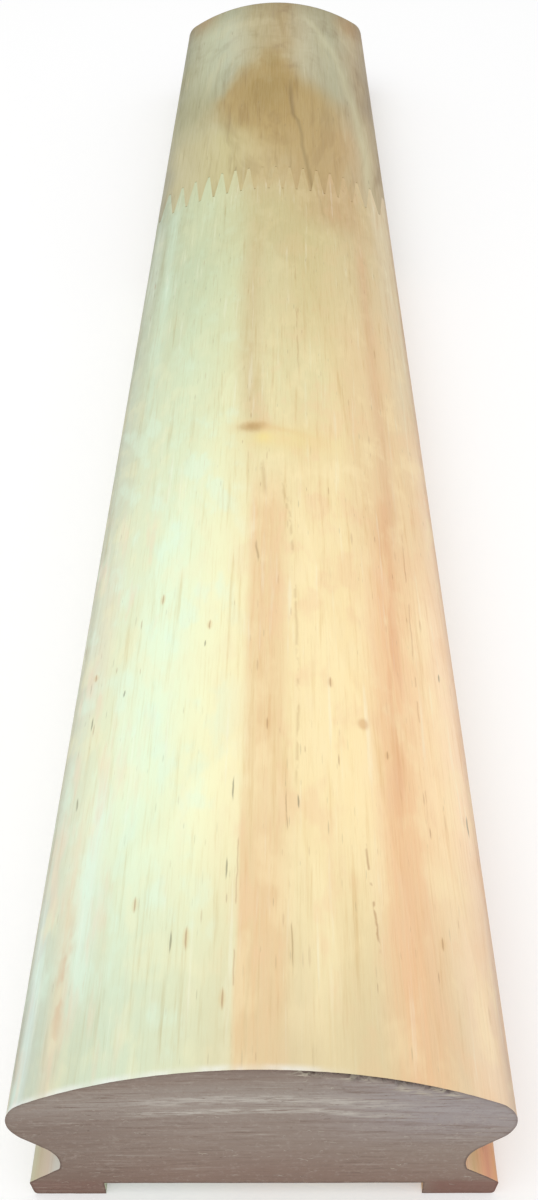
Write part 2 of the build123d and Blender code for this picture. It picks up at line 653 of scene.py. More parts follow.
def randomValue(tree, kind, low, high, seed):
    node = addNode(tree, "FunctionNodeRandomValue", {"Seed": seed}, data_type=kind)
    shown = [socket for socket in node.inputs if socket.enabled]
    plug(shown[0], low)
    plug(shown[1], high)
    return Wire(node)


def scatterFibres(tree, geometry, place, asked, seed):
    # short bent rods, flat on the sawn face and gathered in patches
    clear = calc("GREATER_THAN", namedAttribute(tree, "edgeGap", "FLOAT"), fibreSpread["edgeClear"])
    patches = remap(noise(place, fibreSpread["patch"], 35), 0.42, 0.62, 0.1, 1.0)
    # the section fills about three quarters of its box
    faceArea = (nearBox[1].x - nearBox[0].x) * nearBox[1].z * 0.75 * mm * mm
    spots = addNode(tree, "GeometryNodeDistributePointsOnFaces", {
        "Mesh": geometry,
        "Selection": clear * namedAttribute(tree, "sawnEnd", "BOOLEAN"),
        "Density": patches * (asked["Fibre Count"] / faceArea),
        "Seed": seed,
    })

    half = asked["Fibre Length"] * (0.5 * mm)
    rod = addNode(tree, "GeometryNodeCurveQuadraticBezier", {
        "Resolution": 5,
        "Start": joinXyz(half * -1.0, 0.0, 0.0),
        "Middle": joinXyz(0.0, 0.0, half * fibreSpread["bend"]),
        "End": joinXyz(half, 0.0, 0.0),
    })
    circle = {"Resolution": 5, "Radius": asked["Fibre Radius"] * mm}
    tube = addNode(tree, "GeometryNodeCurveToMesh", {
        "Curve": Wire(rod),
        "Profile Curve": Wire(addNode(tree, "GeometryNodeCurvePrimitiveCircle", circle)),
        "Fill Caps": True,
    })
    label = {"Geometry": Wire(tube), "Name": "tornFibre"}
    named = addNode(tree, "GeometryNodeStoreNamedAttribute", label, data_type="BOOLEAN", domain="FACE")
    plug(next(socket for socket in named.inputs if socket.name == "Value" and socket.enabled), True)

    turn = randomValue(tree, "FLOAT", -fibreSpread["turn"], fibreSpread["turn"], seed + 1)
    flip = calc("ROUND", randomValue(tree, "FLOAT", 0.0, 1.0, seed + 2)) * math.pi
    return Wire(addNode(tree, "GeometryNodeInstanceOnPoints", {
        "Points": Wire(spots, "Points"),
        "Instance": Wire(named),
        "Rotation": joinXyz(0.0, turn + flip, 0.0),
        "Scale": randomValue(tree, "FLOAT_VECTOR", fibreSpread["smallest"], fibreSpread["largest"], seed + 3),
    }))


def namedAttribute(tree, name, kind):
    return Wire(addNode(tree, "GeometryNodeInputNamedAttribute", {"Name": name}, data_type=kind))


def setInputs(modifier, values):
    for item in modifier.node_group.interface.items_tree:
        if item.item_type == "SOCKET" and item.in_out == "INPUT" and item.name in values:
            modifier[item.identifier] = values[item.name]


def makePlain(thing):
    # the modifier's result becomes the piece's own mesh
    bpy.context.view_layer.update()
    shown = thing.evaluated_get(bpy.context.evaluated_depsgraph_get())
    made = bpy.data.meshes.new_from_object(shown)
    thing.modifiers.clear()
    thing.data = made
    made.name = thing.name


# finishes

def hexColour(text):
    parts = [int(text[i:i + 2], 16) / 255 for i in (1, 3, 5)]
    linear = [part / 12.92 if part <= 0.04045 else ((part + 0.055) / 1.055) ** 2.4 for part in parts]
    return (*linear, 1.0)


def colourRamp(value, stops):
    # stops are (value, colour), in rising order
    low, high = stops[0][0], stops[-1][0]
    node = joinNode("ShaderNodeValToRGB", (value - low) / (high - low))
    ramp = node.color_ramp
    while len(ramp.elements) < len(stops):
        ramp.elements.new(0.5)
    for element, (at, colour) in zip(ramp.elements, stops):
        element.position = (at - low) / (high - low)
        element.color = hexColour(colour)
    return Wire(node)


def blendColour(share, first, second, mode="MIX"):
    inputs = {0: share, 6: first, 7: hexColour(second) if isinstance(second, str) else second}
    return Wire(addNode(share.tree, "ShaderNodeMix", inputs, data_type="RGBA", blend_type=mode))


def stain(colour, mask, tone, mode="MIX"):
    # a tone is a colour and how strongly it covers
    shade, share = tone
    return blendColour(mask * share, colour, shade, mode)


def followPath(value, points):
    # a smooth line through pairs of (value, result), level past its ends
    low, high = points[0][0], points[-1][0]
    results = [result for at, result in points]
    bottom, span = min(results), max(results) - min(results) or 1.0
    within = calc("MINIMUM", calc("MAXIMUM", value, low), high)
    node = addNode(value.tree, "ShaderNodeFloatCurve", {"Value": (within - low) / (high - low)})
    curve = node.mapping.curves[0]
    while len(curve.points) < len(points):
        curve.points.new(0.5, 0.5)
    for point, (at, result) in zip(curve.points, points):
        point.location = ((at - low) / (high - low), (result - bottom) / span)
    node.mapping.update()
    return calc("MULTIPLY_ADD", Wire(node), span, bottom)


def bandMask(x, y, strip):
    path, fade = strip["path"], strip["fade"]
    start, end = path[0][0], path[-1][0]
    if len(path) == 2:
        slope = (path[1][1] - path[0][1]) / (end - start)
        middle = calc("MULTIPLY_ADD", y, slope, path[0][1] - slope * start)
    else:
        middle = followPath(y, path)
    across = x - middle
    left, right = strip["half"]
    softLeft, softRight = strip["soft"]
    mask = remap(across, -left - softLeft, -left + softLeft)
    mask *= remap(across, right + softRight, right - softRight)
    mask *= remap(y, start - fade, start + fade)
    mask *= remap(y, end + fade, end - fade)
    return mask


def band(colour, share, path, half, soft, fade, broken=None):
    # a strip along the rail: its path is pairs of (y, x), half and soft are those of its left and
    # right side, and broken is the length in mm of the dashes that a line breaks into
    tone = (colour, share)
    return {"tone": tone, "path": path, "half": half, "soft": soft, "fade": fade, "broken": broken}


def stainBands(colour, x, y, place, bands, ragged):
    # ragged is the cover of the bands that aren't broken into dashes
    for number, strip in enumerate(bands):
        cover = ragged
        if strip["broken"]:
            cover = remap(noise(place, (2.0, strip["broken"], 2.0), 70 + number), 0.44, 0.56)
        colour = stain(colour, bandMask(x, y, strip) * cover, strip["tone"])
    return colour


def markMask(x, y, marks, halfWidth):
    # short resin marks along the grain: each is its x, its y and its half length
    nearest = 9.0   # further off than any mark shows
    flat = joinXyz(x, y, 0.0)
    for markX, markY, halfLength in marks:
        away = vectorCalc("SUBTRACT", flat, (markX, markY, 0.0))
        away = vectorCalc("MULTIPLY", away, (1 / halfWidth, 1 / halfLength, 0.0))
        nearest = calc("MINIMUM", vectorCalc("LENGTH", away), nearest)
    return remap(nearest, 1.3, 0.5)


def stainPatches(colour, x, y, patches, cover):
    # soft round ones, each with its place, its size and its tone
    for at, size, tone in patches:
        colour = stain(colour, bell(x, y, at, size) * cover, tone)
    return colour


def fleckMask(flat, cell, size, seed, share):
    # scattered marks along the grain: one to a cell at most, on the unrolled moulding in mm
    scale = (1 / cell[0], 1 / cell[1], 1.0)
    spread = vectorCalc("MULTIPLY_ADD", flat, scale, (3.7 * seed, 1.9 * seed, 0.0))
    pattern = {"Vector": spread, "Scale": 1.0}
    cells = addNode(flat.tree, "ShaderNodeTexVoronoi", pattern, voronoi_dimensions="2D")
    away = vectorCalc("SUBTRACT", spread, Wire(cells, "Position"))
    away = vectorCalc("MULTIPLY", away, (cell[0] / size[0], cell[1] / size[1], 0.0))
    chance, strength, length = splitXyz(Wire(cells, "Color"))
    stretch = remap(length, 0.0, 1.0, 2.2, 0.7, smooth=False)
    mark = remap(vectorCalc("LENGTH", away) * stretch, 1.0, 0.3)
    return mark * calc("LESS_THAN", chance, share) * remap(strength, 0.0, 1.0, 0.3, 1.0)


def newFinish(name):
    material = bpy.data.materials.new(name)
    material.use_nodes = True
    tree = material.node_tree
    tree.nodes.clear()
    shader = tree.nodes.new("ShaderNodeBsdfPrincipled")
    addNode(tree, "ShaderNodeOutputMaterial", {"Surface": Wire(shader)})
    return material, tree, shader


def setSurface(shader, colour, shine, roughness):
    plug(shader.inputs["Base Color"], colour)
    plug(shader.inputs["Specular IOR Level"], shine)
    plug(shader.inputs["Roughness"], roughness)


def setBump(shader, height, depth):
    bump = {"Strength": 0.6, "Distance": depth * mm, "Height": height}
    plug(shader.inputs["Normal"], Wire(addNode(height.tree, "ShaderNodeBump", bump)))


def objectPlace(tree):
    return onRail(Wire(tree.nodes.new("ShaderNodeTexCoord"), "Object"))


def unrolledPlace(tree):
    return scaled(Wire(addNode(tree, "ShaderNodeUVMap", {}, uv_map="unrolled")), 1 / mm)


def setPlaned(shader, colour, fibres, flecks, late, ringHeight):
    # planed wood has a low sheen, and its fibres and rings stand up a little
    setSurface(shader, colour, 0.3, remap(fibres, 0.3, 0.7, 0.5, 0.68))
    setBump(shader, calc("MULTIPLY_ADD", late, ringHeight, fibres + flecks * -0.8), 0.12)


def stainSides(colour, x, z, look):
    # the rounded sides, hollows and feet are of one colour on each side
    for side, tone in ((-1, look["leftSide"]), (1, look["rightSide"])):
        colour = stain(colour, remap(x * side, 24.0, 28.0) * remap(z, 21.6, 19.8), tone)
    return colour


def stainHollows(colour, x, y, z, flat, look):
    # streaks along the hollows and feet, near the near end; their tones are the wood's colour deepened with
    # painted shade
    low = remap(z, 15.5, 11.0) * remap(y, *look["hollowsUpTo"])
    drift = swing(noise(flat, *look["noises"]["hollows"]), 0.8)
    for side, stops in ((-1, look["leftHollow"]), (1, look["rightHollow"])):
        mask = low * remap(x * side, 25.0, 26.5)
        colour = blendColour(mask * look["hollowShare"], colour, colourRamp(x * side + drift, stops))
    return colour


paleFinish = {
    "timber": paleTimber,
    "noises": {                   # size along x, y and z in mm, seed, detail and roughness
        "streaks": ((1.2, 34, 1), 43, 4.0, 0.65),
        "fibres": ((0.35, 11, 1), 44, 3.0, 0.65),
        "wobble": ((14, 60, 14), 41, 3.0),
        "bands": ((9, 26, 9), 42),
        "mottle": ((5, 11, 5), 49, 3.0, 0.55),
        "hollows": ((6, 40, 1), 40),
        "hatch": ((0.5, 7.5, 1), 50, 3.0, 0.65),
        "blush": ((2.2, 13, 1), 45),
        "clusters": ((9, 34, 1), 46),
        "marks": ((3, 4, 3), 47),
        "edge": ((4, 3, 4), 48),
    },
    "across": [                   # x and the planed colour there; the darker stops at both ends are painted shade on the rounded sides
        (-32.5, "#b9b8a3"),
        (-30.6, "#d4dbc5"),
        (-26.0, "#e3eac9"),
        (-18.0, "#e9f4d1"),
        (-9.0, "#f4f5ca"),
        (-3.4, "#f6ecbd"),
        (6.0, "#f7e3b0"),
        (14.0, "#fbe5b1"),
        (27.0, "#fce0b4"),
        (31.0, "#fadcba"),
        (32.5, "#d6b399"),
    ],
    "farDarkeningAndShade": ("#d0d4cc", 1.0),  # darker from knot to joint: partly the wood's own tone, partly painted shade where the light falls off
    "farDarkeningAndShadeFrom": (62.0, 264.0),
    # painted shade: the crown darkens towards the near end
    "nearPaintedShade": ("#e4e7ec", 1.0),
    "nearPaintedShadeFrom": (48.0, 2.0),
    "bands": [                    # wide ones first; paths are pairs of (y, x)
        band("#e6c596", 0.95, ((-30, 0.2), (44, 0.3)), (3.4, 3.4), (0.4, 2.0), 10),
        band("#e8c797", 0.9, ((44, 0.2), (122, 0.4)), (3.2, 3.0), (1.1, 1.8), 10),
        band("#c9b080", 0.55, ((140, -1.9), (192, -4.4), (236, -3.6)), (2.2, 2.4), (2.2, 2.4), 12),
        band("#fcebba", 0.5, ((-30, 8.0), (125, 9.0)), (2.4, 3.0), (2.4, 3.0), 20),
        band("#ecbd8f", 0.85, ((-30, 20.2), (50, 20.6), (118, 22.2)), (3.2, 3.6), (2.6, 3.4), 20),
        band("#e4c798", 0.5, ((100, 22.5), (190, 23.5)), (7.0, 7.0), (2.0, 2.5), 14),
        band("#d2a47c", 0.55, ((112, 23.4), (236, 22.9)), (1.1, 1.1), (1.6, 1.6), 14),
        band("#c3a476", 0.9, ((240, 18.0), (258, 15.4), (290, 14.0)), (9.6, 8.0), (4.4, 2.6), 9),
        band("#c6b884", 0.6, ((226, 4.0), (290, 4.0)), (12.0, 9.0), (6.0, 4.0), 16),
        band("#ecc6a6", 0.4, ((-8, -26.6), (42, -27.0)), (0.9, 0.9), (1.2, 1.2), 10),
        band("#e9cfb4", 0.3, ((68, -28.4), (104, -28.0)), (1.2, 1.6), (1.5, 1.8), 8),
        band("#c8b586", 0.66, ((256, 1.0), (290, 1.0)), (11.0, 9.0), (5.0, 4.0), 9),
        band("#bfa875", 0.62, ((265, 3.0), (290, 3.0)), (9.5, 9.5), (3.5, 4.0), 5),
        band("#dbdcae", 0.35, ((148, 7.0), (176, 6.0)), (7.0, 6.5), (4.0, 2.4), 14),
        band("#d5d5a9", 0.45, ((230, -15.5), (290, -15.5)), (8.0, 8.0), (5.0, 5.0), 14),
        band("#d0d8c4", 0.5, ((204, -30.4), (254, -30.4)), (1.2, 1.2), (1.0, 1.0), 10),
        band("#cec38c", 0.35, ((184, 8.6), (236, 8.6)), (3.4, 3.4), (3.0, 3.0), 12),
        band("#e0f0ea", 0.5, ((-30, -30.5), (32, -30.9)), (0.7, 0.7), (0.6, 0.6), 12),
        band("#c6c7af", 0.45, ((60, -31.0), (98, -31.0)), (0.7, 0.6), (0.9, 0.6), 8),
        band("#fbdcb8", 0.5, ((-10, 28.6), (26, 28.6)), (1.8, 2.4), (1.8, 1.4), 8),
        band("#dff6ea", 0.5, ((14, -24.3), (52, -24.3)), (1.4, 1.6), (1.2, 1.8), 10),
        band("#e2fadf", 0.4, ((34, -18.5), (116, -17.0)), (3.5, 3.5), (3.5, 3.5), 12),
        band("#cfe6cf", 0.5, ((150, -25.9), (262, -26.6)), (1.3, 1.5), (1.2, 1.4), 16),
        band("#dccfae", 0.6, ((152, 29.0), (290, 29.2)), (2.0, 2.6), (1.6, 0.8), 14),
    ],
    "lines": [                    # thin dark and light ones, most of them broken into dashes
        band("#d0ad8c", 0.5, ((7, -26.6), (25, -26.4)), (0.5, 0.6), (0.6, 0.8), 5, broken=6.0),
        band("#dca176", 0.42, ((40, 20.4), (125, 22.3)), (0.9, 1.0), (1.3, 1.4), 12, broken=22.0),
        band("#a97c55", 0.5, ((0, -3.35), (42, -3.3)), (0.07, 0.07), (0.12, 0.12), 2, broken=5.0),
        band(
            "#b08c5c", 0.42, ((46, 5.1), (75, 5.4), (98, 4.9), (121, 3.6)),
            (0.18, 0.14), (0.34, 0.3), 3, broken=4.2,
        ),
        band("#8f6f45", 0.5, ((12, 4.4), (46, 3.4)), (0.08, 0.08), (0.1, 0.1), 4, broken=7.0),
        band("#a5764e", 0.55, ((18, 15.8), (36, 14.7)), (0.16, 0.16), (0.16, 0.16), 3, broken=2.6),
        band("#8a6a41", 0.5, ((95, -0.9), (104, -1.9)), (0.16, 0.16), (0.2, 0.2), 2, broken=6.0),
        band("#b08e5c", 0.4, ((113, 3.9), (124, 2.7)), (0.2, 0.2), (0.35, 0.35), 3, broken=4.0),
        band("#b08e5c", 0.4, ((119, -0.3), (131, -1.2)), (0.3, 0.3), (0.5, 0.5), 3, broken=5.0),
        band("#c7ac74", 0.35, ((156, -2.6), (167, -2.2)), (0.5, 0.5), (0.7, 0.7), 4),
        band("#b98a62", 0.4, ((44, 24.4), (112, 25.4)), (0.1, 0.1), (0.12, 0.12), 8, broken=5.0),
        band("#ab8458", 0.35, ((166, 6.4), (216, 6.0)), (0.12, 0.12), (0.16, 0.16), 8, broken=9.0),
        band("#a98f60", 0.4, ((243, 14.2), (262, 12.4)), (0.3, 0.3), (0.5, 0.5), 5),
    ],
    "darkMarks": [
        (-11.9, 19.2, 1.7), (-4.8, 30.5, 1.8), (-4.3, 45.0, 2.2), (5.2, 42.5, 1.3), (-28.5, 48.1, 1.3),
        (30.7, 44.6, 2.0), (-9.9, 77.4, 0.8), (-28.0, 64.9, 1.5), (29.1, 75.6, 1.0), (-23.0, 69.5, 0.8),
    ],
    "brownMarks": [
        (-17.3, 26.2, 1.3), (-9.8, 19.5, 1.8), (-4.7, 10.0, 1.6), (-9.3, 82.0, 1.2), (0.6, 58.0, 1.3),
        (19.0, 54.0, 0.9), (-18.0, 91.0, 1.4), (10.6, 68.0, 1.2), (24.6, 21.5, 1.1), (-28.6, 76.0, 0.9),
    ],
    "markTones": [                # which marks, half their width and their tone
        ("brownMarks", 0.5, ("#dcb980", 0.28)),
        ("darkMarks", 0.15, ("#7a765e", 0.62)),
        ("brownMarks", 0.14, ("#a77c58", 0.54)),
    ],
    "mottles": ("#dcf7e4", "#f1edc4", "#fbe9ba", "#eec69d"),
    "mottleShare": 0.34,
    "mottleFade": (120.0, 200.0, 1.0, 0.3),       # from one y to another, and from one share to another
    "rings": ("#d9b98c", 0.1),
    "paleStreaks": ("#f8fbe8", 0.22),
    "darkStreaks": ("#d9b98c", 0.32),
    "fibres": ("#d9b98c", 0.16),
    "hatch": ("#c9a273", 0.19),
    "blush": ("#ecd0b6", 0.36),
    "flecks": ((4.2, 12), (0.2, 1.9), 5, 0.6),    # cell, size, seed and share of the cells with one
    "fleckTone": ("#a77c58", 0.45),
    "fineFlecks": ((1.9, 7), (0.12, 1.3), 9, 0.5),
    "fineFleckTone": ("#7a765e", 0.3),
    "knotTail": ((6.0, -0.4), (5.0, 1.1), ("#e0bf86", 0.45)),
    "knotPatches": [              # place from the larger knot's middle, size and tone
        ((7.0, -5.0), (9.0, 4.2), ("#ecd694", 0.5)),
        ((2.4, -4.0), (1.7, 2.2), ("#f2e092", 0.6)),
        ((0.4, 0.0), (3.6, 2.025), ("#dcb980", 0.7)),
    ],
    "knotHeart": ("#a07a42", 0.52),
    "smallKnot": ("#d6a878", 0.6),
    # painted shade at the near end
    "nearShadePatches": [((7.0, 1.5), (9.5, 7.5), ("#d8c59a", 0.6))],
    # painted highlight along the near arris
    "arrisHighlight": ("#eff1ee", 0.7),
    "leftSide": ("#d6d4bc", 0.85),
    "rightSide": ("#e8caa4", 0.85),
    # the hollows' tones: the wood's colour deepened with painted shade
    "leftHollow": [
        (26.6, "#cfcfca"), (28.0, "#c9c4bb"), (29.2, "#c8b6a4"), (30.4, "#c0b298"), (31.2, "#bfbb9e"),
        (32.2, "#b5b3aa"),
    ],
    "rightHollow": [
        (26.8, "#dfb698"), (28.2, "#cfb186"), (29.4, "#dca37e"), (30.4, "#d39479"), (31.3, "#d9a177"),
        (32.2, "#c9a58c"),
    ],
    "hollowShare": 0.9,
    "hollowsUpTo": (90.0, 35.0),
}


def makePaleFinish(look):
    timber = look["timber"]
    noises = look["noises"]
    material, tree, shader = newFinish("planedPalePine")
    place = objectPlace(tree)
    flat = unrolledPlace(tree)
    x, y, z = splitXyz(place)
    onCrown = remap(z, 15.0, 20.0)
    late = lateWood(ringField(place, timber), timber)
    streaks = noise(flat, *noises["streaks"])
    fibres = noise(flat, *noises["fibres"])

    wobble = swing(noise(place, *noises["wobble"]), 1.0)
    wobble *= remap(calc("ABSOLUTE", x), 26.0, 31.5, 1.6, 0.3)
    colour = colourRamp(x + wobble, look["across"])
    # painted shade along the rail: darker towards the joint (partly the wood's own tone), and towards the
    # near end
    colour = stain(colour, remap(y, *look["farDarkeningAndShadeFrom"]), look["farDarkeningAndShade"], "MULTIPLY")
    colour = stain(colour, remap(y, *look["nearPaintedShadeFrom"]), look["nearPaintedShade"], "MULTIPLY")
    grainX = x + swing(noise(place, *noises["bands"]), 0.8)
    colour = stainBands(colour, grainX, y, place, look["bands"], remap(streaks, 0.7, 0.35, 0.6, 1.0))

    # mottled: mint and cream patches on the left, yellow and peach ones on the right
    onLeft = remap(x, 0.0, -9.0)
    onRight = 1.0 - onLeft
    mottle = noise(place, *noises["mottle"])
    high, low = remap(mottle, 0.5, 0.68), remap(mottle, 0.5, 0.32)
    masks = (high * onLeft, low * onLeft, high * onRight, low * onRight)
    for mask, tone in zip(masks, look["mottles"]):
        patch = stain(colour, mask, (tone, look["mottleShare"]))
        colour = blendColour(remap(y, *look["mottleFade"]), colour, patch)

    colour = stainSides(colour, x, z, look)
    colour = stainHollows(colour, x, y, z, flat, look)

    # grain
    colour = stain(colour, late, look["rings"], "MULTIPLY")
    colour = stain(colour, remap(streaks, 0.42, 0.28), look["paleStreaks"])
    colour = stain(colour, remap(streaks, 0.54, 0.74), look["darkStreaks"], "MULTIPLY")
    colour = stain(colour, remap(fibres, 0.5, 0.75), look["fibres"], "MULTIPLY")
    hatch = remap(noise(flat, *noises["hatch"]), 0.58, 0.76)
    colour = stain(colour, hatch * remap(mottle, 0.45, 0.6, 0.2, 1.0), look["hatch"])
    blushed = remap(noise(flat, *noises["blush"]), 0.5, 0.72) * remap(x, -14.0, -24.0, 0.2, 1.0)
    blushed *= remap(y, 135.0, 105.0, 0.15, 1.0)
    colour = stain(colour, blushed * onCrown, look["blush"])

    # resin marks
    clusters = remap(noise(flat, *noises["clusters"]), 0.42, 0.62, 0.1, 1.0)
    flecks = fleckMask(flat, *look["flecks"])
    fine = fleckMask(flat, *look["fineFlecks"])
    colour = stain(colour, flecks * clusters, look["fleckTone"])
    colour = stain(colour, fine * clusters, look["fineFleckTone"])
    bentX = x + swing(noise(place, *noises["marks"]), 0.25)
    colour = stainBands(colour, bentX, y, place, look["lines"], onCrown)
    for marks, width, tone in look["markTones"]:
        colour = stain(colour, markMask(bentX, y, look[marks], width) * onCrown, tone)

    # the larger knot lies in a yellow glow with a faint tail, and the smaller is a round tan disc
    big, small = timber["knots"]
    knotX, knotY = big["at"]
    at, size, tone = look["knotTail"]
    tail = bell(x, calc("MULTIPLY_ADD", x, 0.32, y), (knotX + at[0], knotY + at[1]), size)
    colour = stain(colour, tail * onCrown, tone)
    patches = [((knotX + at[0], knotY + at[1]), size, tone) for at, size, tone in look["knotPatches"]]
    colour = stainPatches(colour, x, y, patches, onCrown)
    colour = stain(colour, knotMask(place, big, soft=0.98), look["knotHeart"])
    disc = remap(bell(x, y, small["at"], small["size"]), 0.1, 0.8)
    colour = stain(colour, disc * onCrown, look["smallKnot"])

    # a patch of painted shade at the near end, and a painted highlight along the near arris
    colour = stainPatches(colour, x, y, look["nearShadePatches"], onCrown)
    edge = remap(y, 1.3, 0.2) * onCrown * remap(noise(place, *noises["edge"]), 0.35, 0.6, 0.35, 1.0)
    colour = stain(colour, edge * remap(x, 13.0, 2.0), look["arrisHighlight"])
    setPlaned(shader, colour, fibres, flecks, late, 0.4)
    return material


brownFinish = {
    "timber": brownTimber,
    "noises": {                   # size along x, y and z in mm, seed, detail and roughness
        "figure": ((7, 9, 70), 58, 3.0, 0.6),
        "streaks": ((1.6, 45, 1), 53, 4.0, 0.6),
        "fibres": ((0.35, 14, 1), 54, 3.0, 0.6),
        "across": ((8, 22, 8), 51, 3.0),
        "along": ((9, 18, 9), 52),
        "border": ((7, 14, 7), 55, 3.0),
        "rings": ((7, 30, 7), 56),
        "bands": ((9, 20, 9), 57),
    },
    "upper": [                    # x and the planed colour there, past the knot; the darker stops at both ends are painted shade on the rounded sides
        (-32.5, "#86866f"),
        (-30.0, "#9c9c80"),
        (-26.5, "#b2b394"),
        (-23.0, "#b9bc9c"),
        (-16.0, "#b9bda0"),
        (-7.0, "#b5a980"),
        (4.0, "#b4a074"),
        (10.0, "#bab291"),
        (20.0, "#b0ac8c"),
        (27.0, "#b1a07e"),
        (32.5, "#9e8f76"),
    ],
    "lower": [                    # and between the knot and the joint, with painted shade at both ends too
        (-32.5, "#a19e86"),
        (-27.0, "#beb68e"),
        (-14.0, "#c6bc8a"),
        (-4.0, "#c6b482"),
        (8.0, "#c1a878"),
        (20.0, "#c0a274"),
        (27.0, "#c3b28d"),
        (32.5, "#a99779"),
    ],
    "lowerFrom": (348.0, 300.0),
    "border": (                   # x and y of the arch in which the golden knot wood ends
        (-28, 322), (-18, 336), (-12, 356), (-6, 366), (-1, 376), (4, 364), (9, 351), (14, 345), (20, 334),
        (26, 318),
    ),
    "goldenLeft": (               # y and x of the golden wood's left side
        (244, 15.0), (264, 8.5), (284, 1.5), (300, -6.0), (312, -14.0), (324, -18.5), (380, -19.0),
    ),
    "golden": ("#ae9154", 0.86),
    "hearts": (((-2.5, 338.0), (8.0, 20.0)), ((-0.6, 367.0), (2.6, 13.0))),     # place and size
    "goldenHeart": ("#9c8347", 0.7),
    "goldenRim": ("#9c8347", 0.25),
    "olivePatches": [             # place, size and tone
        ((-24.0, 337.0), (10.5, 22.0), ("#a09b74", 0.75)),
        ((-30.0, 374.0), (5.0, 12.0), ("#a09b74", 0.6)),
    ],
    "cornerPatches": [
        ((-25.8, 429.0), (5.0, 13.0), ("#b48e5c", 0.55)),
        ((27.0, 422.0), (5.0, 13.0), ("#b48e5c", 0.55)),
    ],
    "bands": [
        band(
            "#86703f", 0.7, ((254, 12.0), (272, 10.6), (290, 9.2), (311, 7.8), (318, 6.2), (344, 5.6)),
            (0.42, 0.45), (0.6, 0.7), 9,
        ),
        band("#856a3e", 0.4, ((312, 7.4), (318, 6.2), (340, 5.9)), (0.7, 0.6), (0.7, 0.7), 8),
        band("#9a8350", 0.4, ((394, 2.9), (424, 1.2)), (0.9, 0.9), (0.9, 0.9), 8),
        band(
            "#cbc7a2", 0.5, ((274, 27.4), (320, 26.5), (345, 24.4), (368, 22.4), (391, 18.2), (416, 10.6)),
            (1.2, 1.4), (1.4, 1.8), 14,
        ),
        band("#a18a56", 0.3, ((282, 4.4), (303, 3.2), (318, -1.6), (333, -6.7)), (0.5, 0.6), (0.9, 1.2), 8),
        band("#a8935f", 0.25, ((297, -8.4), (302, -10.9), (318, -16.3)), (0.5, 0.6), (0.9, 1.2), 6),
        band("#c9c6a8", 0.35, ((374, -12.0), (416, -15.0)), (2.6, 3.4), (3.2, 3.6), 12),
        band("#c8bf9c", 0.35, ((372, 9.4), (414, 9.8)), (1.8, 2.2), (2.2, 2.6), 12),
        band("#b9a26e", 0.3, ((262, 16.5), (338, 15.5)), (8.5, 5.5), (3.0, 3.2), 12),
    ],
    "rings": ("#a98a58", 0.08),
    "darkFigure": ("#a98a58", 0.24),
    "paleFigure": ("#cbc39a", 0.24),
    "darkStreaks": ("#a98a58", 0.3),
    "paleStreaks": ("#cfc7a2", 0.3),
    "fibres": ("#a98a58", 0.14),
    "flecks": ((5.0, 15), (0.22, 2.2), 15, 0.4),
    "fleckTone": ("#6f5a3c", 0.3),
    "knot": ("#9c8347", 0.2),
    # painted shade over the last 26 mm before the far end, and darker still along its arris
    "farEndShade": ("#dad5ca", 0.75),
    "endShade": ("#8c8468", 0.6),
    "leftSide": ("#b4af91", 0.85),
    "rightSide": ("#bda885", 0.85),
}


